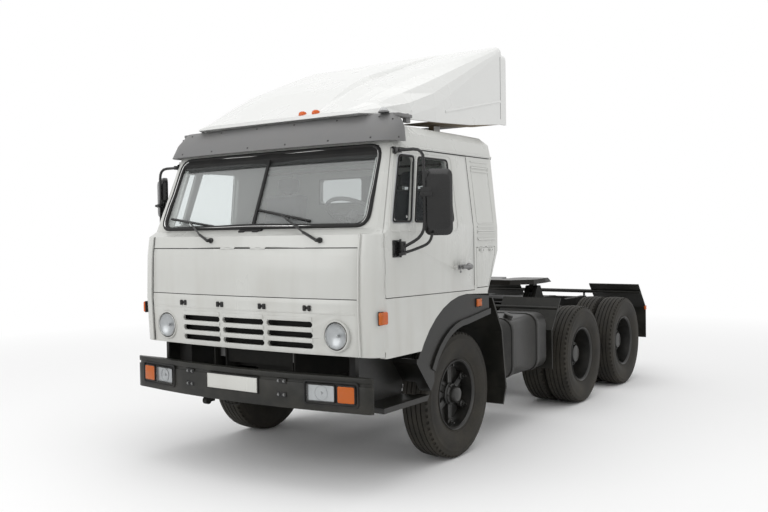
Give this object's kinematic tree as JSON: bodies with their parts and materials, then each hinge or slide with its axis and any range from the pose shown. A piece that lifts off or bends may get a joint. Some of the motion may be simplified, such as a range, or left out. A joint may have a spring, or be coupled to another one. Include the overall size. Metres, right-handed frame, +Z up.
{
  "type": "semi truck tractor unit",
  "caption": "Cab-over tractor unit with a tilting cab, hinged doors, roof air deflector, steered front wheels, twin drive wheels and a rocking fifth wheel coupling.",
  "frame": {"origin": "centre of the footprint at the ground", "axes": "+Z up, -Y is the direction of forward travel, +X is the vehicle's left side"},
  "size_m": [3.1107, 6.336, 3.544],
  "materials": {
    "cab_paint": "gloss",
    "fairing_paint": "gloss",
    "visor_paint": "satin",
    "black_trim": "matte",
    "inside_trim": "matte",
    "seat_cloth": "matte",
    "window": "clear",
    "lamp_clear": "clear",
    "chassis_paint": "satin",
    "cast_parts": "matte",
    "tyre": "matte",
    "hub_paint": "satin",
    "tank_paint": "satin"
  },
  "bodies": {
    "chassis": {"frame": "chassis_paint", "front_axle": "cast_parts", "drive_axles": "cast_parts", "bogie_springs": "cast_parts", "powertrain": "cast_parts", "bumper": "black_trim", "bumper_lamp_left": "lamp_clear", "bumper_lamp_right": "lamp_clear", "fuel_tank": "tank_paint", "battery_box": "chassis_paint", "silencer": "chassis_paint", "bogie_mudguard_front": "black_trim", "bogie_mudguard_rear": "black_trim", "front_mudguards": "black_trim", "fifth_wheel_base": "chassis_paint"},
    "coupling_plate": {"fifth_wheel_plate": "cast_parts"},
    "cab": {"cab_roof": "cab_paint", "cab_back": "cab_paint", "rear_window_glass": "window", "cab_front": "cab_paint", "windscreen": "window", "grille_panel": "cab_paint", "corner_deflector_left": "cab_paint", "corner_deflector_right": "cab_paint", "cab_side_left": "cab_paint", "cab_side_right": "cab_paint", "arch_step_left": "cab_paint", "arch_step_right": "cab_paint", "sun_visor": "visor_paint", "roof_fairing": "fairing_paint", "cab_floor": "inside_trim", "dashboard": "inside_trim", "seat_left": "seat_cloth", "seat_right": "seat_cloth", "bunk": "seat_cloth", "headlamp_left": "lamp_clear", "headlamp_right": "lamp_clear"},
    "front_hatch": {"front_panel": "cab_paint"},
    "left_door": {"door_left": "cab_paint", "door_glass_left": "window", "mirror_left": "black_trim"},
    "right_door": {"door_right": "cab_paint", "door_glass_right": "window", "mirror_right": "black_trim"},
    "left_locker": {"locker_lid_left": "cab_paint"},
    "right_locker": {"locker_lid_right": "cab_paint"},
    "left_knuckle": {"steering_knuckle_left": "cast_parts"},
    "right_knuckle": {"steering_knuckle_right": "cast_parts"},
    "steering_rod": {"track_rod": "cast_parts"},
    "front_wheel_left": {"tyre_front_left": "tyre", "hub_front_left": "hub_paint"},
    "front_wheel_right": {"tyre_front_right": "tyre", "hub_front_right": "hub_paint"},
    "mid_wheels_left": {"twin_wheel_mid_left": "tyre"},
    "mid_wheels_right": {"twin_wheel_mid_right": "tyre"},
    "rear_wheels_left": {"twin_wheel_rear_left": "tyre"},
    "rear_wheels_right": {"twin_wheel_rear_right": "tyre"}
  },
  "joints": [
    {"name": "coupling_rock", "type": "hinge", "parent": "chassis", "child": "coupling_plate", "pos_m": [0, 1.472, 1.19], "axis": [1, 0, 0], "range_deg": [-12, 12]},
    {"name": "cab_tilt", "type": "hinge", "parent": "chassis", "child": "cab", "pos_m": [0, -2.818, 0.93], "axis": [1, 0, 0], "range_deg": [0, 42]},
    {"name": "front_panel_lift", "type": "hinge", "parent": "cab", "child": "front_hatch", "pos_m": [0, -3.0163, 1.765], "axis": [-1, 0, 0], "range_deg": [0, 65]},
    {"name": "door_swing_left", "type": "hinge", "parent": "cab", "child": "left_door", "pos_m": [1.2324, -2.862, 1.5], "axis": [0, 0, -1], "range_deg": [0, 70]},
    {"name": "door_swing_right", "type": "hinge", "parent": "cab", "child": "right_door", "pos_m": [-1.2324, -2.862, 1.5], "axis": [0, 0, 1], "range_deg": [0, 70]},
    {"name": "locker_lift_left", "type": "hinge", "parent": "cab", "child": "left_locker", "pos_m": [1.2324, -1.353, 1.735], "axis": [0, -1, 0], "range_deg": [0, 80]},
    {"name": "locker_lift_right", "type": "hinge", "parent": "cab", "child": "right_locker", "pos_m": [-1.2324, -1.353, 1.735], "axis": [0, 1, 0], "range_deg": [0, 80]},
    {"name": "steer_left", "type": "hinge", "parent": "chassis", "child": "left_knuckle", "pos_m": [0.845, -1.698, 0.522], "axis": [0, 0, 1], "range_deg": [-35, 35]},
    {"name": "steer_right", "type": "hinge", "parent": "chassis", "child": "right_knuckle", "pos_m": [-0.845, -1.698, 0.522], "axis": [0, 0, 1], "range_deg": [-35, 35]},
    {"name": "rod_pivot", "type": "hinge", "parent": "left_knuckle", "child": "steering_rod", "pos_m": [0.845, -1.458, 0.377], "axis": [0, 0, 1], "range_deg": [-35, 35]},
    {"name": "roll_front_left", "type": "hinge", "parent": "left_knuckle", "child": "front_wheel_left", "pos_m": [1.035, -1.698, 0.522], "axis": [1, 0, 0], "continuous": true},
    {"name": "roll_front_right", "type": "hinge", "parent": "right_knuckle", "child": "front_wheel_right", "pos_m": [-1.035, -1.698, 0.522], "axis": [1, 0, 0], "continuous": true},
    {"name": "roll_mid_left", "type": "hinge", "parent": "chassis", "child": "mid_wheels_left", "pos_m": [0.905, 1.002, 0.522], "axis": [1, 0, 0], "continuous": true},
    {"name": "roll_mid_right", "type": "hinge", "parent": "chassis", "child": "mid_wheels_right", "pos_m": [-0.905, 1.002, 0.522], "axis": [1, 0, 0], "continuous": true},
    {"name": "roll_rear_left", "type": "hinge", "parent": "chassis", "child": "rear_wheels_left", "pos_m": [0.905, 2.332, 0.522], "axis": [1, 0, 0], "continuous": true},
    {"name": "roll_rear_right", "type": "hinge", "parent": "chassis", "child": "rear_wheels_right", "pos_m": [-0.905, 2.332, 0.522], "axis": [1, 0, 0], "continuous": true}
  ],
  "couplings": [
    {"joint": "steer_right", "follows": "steer_left", "ratio": 1},
    {"joint": "rod_pivot", "follows": "steer_left", "ratio": -1}
  ]
}
